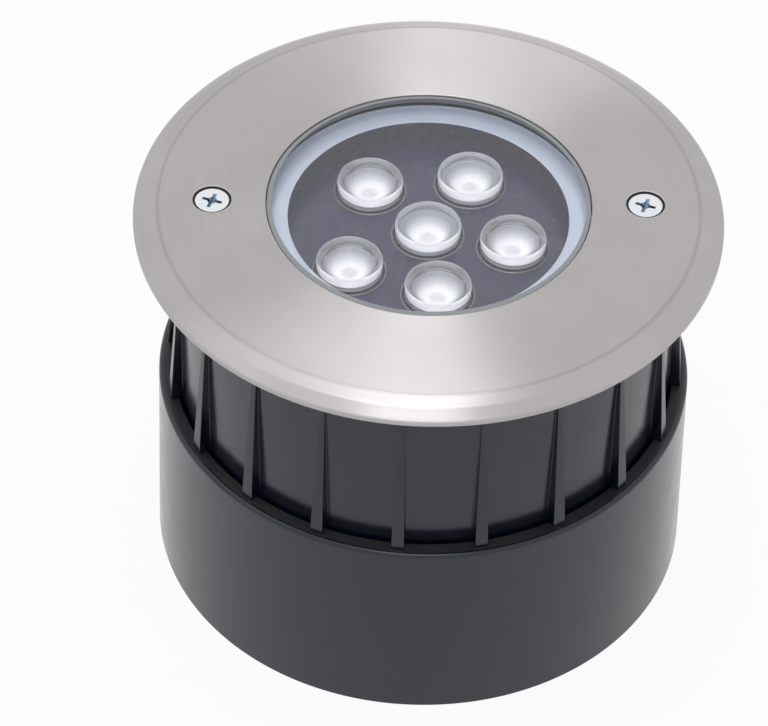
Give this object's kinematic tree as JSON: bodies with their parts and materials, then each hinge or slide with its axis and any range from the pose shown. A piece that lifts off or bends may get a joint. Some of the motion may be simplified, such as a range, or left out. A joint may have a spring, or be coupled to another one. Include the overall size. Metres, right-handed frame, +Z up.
{
  "type": "in ground well light",
  "caption": "Round in ground well light: sealed LED lamp under a bevelled steel trim ring, lifting out of a ribbed mounting sleeve that stands in an open outer can.",
  "frame": {"origin": "centre of the base of the outer can, on the surface that it stands on", "axes": "+Z up along the lamp's axis, towards the light opening; the two trim screws lie on the X axis; the picture looks from -Y and from above"},
  "size_m": [0.16, 0.16, 0.121],
  "materials": {
    "black_plastic": "satin moulded, faint grain",
    "insert_brass": "turned",
    "trim_steel": "fine circular brushing",
    "screw_steel": "bright zinc plated",
    "seal_rubber": "matt",
    "clear_glass": "polished, toughened",
    "clamp_steel": "plain turned",
    "silver_coat": "satin silver",
    "dark_plate": "semi gloss, slate",
    "clear_optic": "moulded clear, beaded",
    "holder_black": "matt",
    "led_phosphor": "phosphor under a clear dome",
    "board_white": "white solder mask",
    "pad_grey": "soft, matt",
    "lead_red": "insulated wire",
    "cast_alloy": "die cast, light shot blast",
    "circuit_green": "solder mask",
    "winding_yellow": "taped winding",
    "capacitor_sleeve": "shrink sleeve",
    "terminal_green": "moulded",
    "gland_nylon": "moulded nylon"
  },
  "bodies": {
    "sleeve": {"outer_can": "black_plastic", "ribbed_sleeve": "black_plastic", "sleeve_inserts": "insert_brass"},
    "lamp": {"trim_ring": "trim_steel", "trim_screws": "screw_steel", "trim_gasket": "seal_rubber", "glass_lens": "clear_glass", "glass_gasket": "seal_rubber", "clamp_ring": "clamp_steel", "clamp_screws": "screw_steel", "reflector_ring": "silver_coat", "cover_plate": "dark_plate", "optic_1": "clear_optic", "optic_2": "clear_optic", "optic_3": "clear_optic", "optic_4": "clear_optic", "optic_5": "clear_optic", "optic_6": "clear_optic", "optic_holder_1": "holder_black", "optic_holder_2": "holder_black", "optic_holder_3": "holder_black", "optic_holder_4": "holder_black", "optic_holder_5": "holder_black", "optic_holder_6": "holder_black", "led_emitters": "led_phosphor", "led_board": "board_white", "board_screws": "screw_steel", "thermal_pad": "pad_grey", "led_leads": "lead_red", "lamp_housing": "cast_alloy", "driver_board": "circuit_green", "driver_screws": "screw_steel", "driver_transformer": "winding_yellow", "driver_capacitors": "capacitor_sleeve", "terminal_block": "terminal_green", "rear_cover": "cast_alloy", "rear_cover_seal": "seal_rubber", "rear_cover_screws": "screw_steel", "gland_body": "gland_nylon", "gland_washer": "seal_rubber", "gland_seal": "seal_rubber", "gland_nut": "gland_nylon"}
  },
  "joints": [
    {"name": "lamp_lift", "type": "slide", "parent": "sleeve", "child": "lamp", "axis": [0, 0, 1], "range_m": [0, 0.12]}
  ]
}
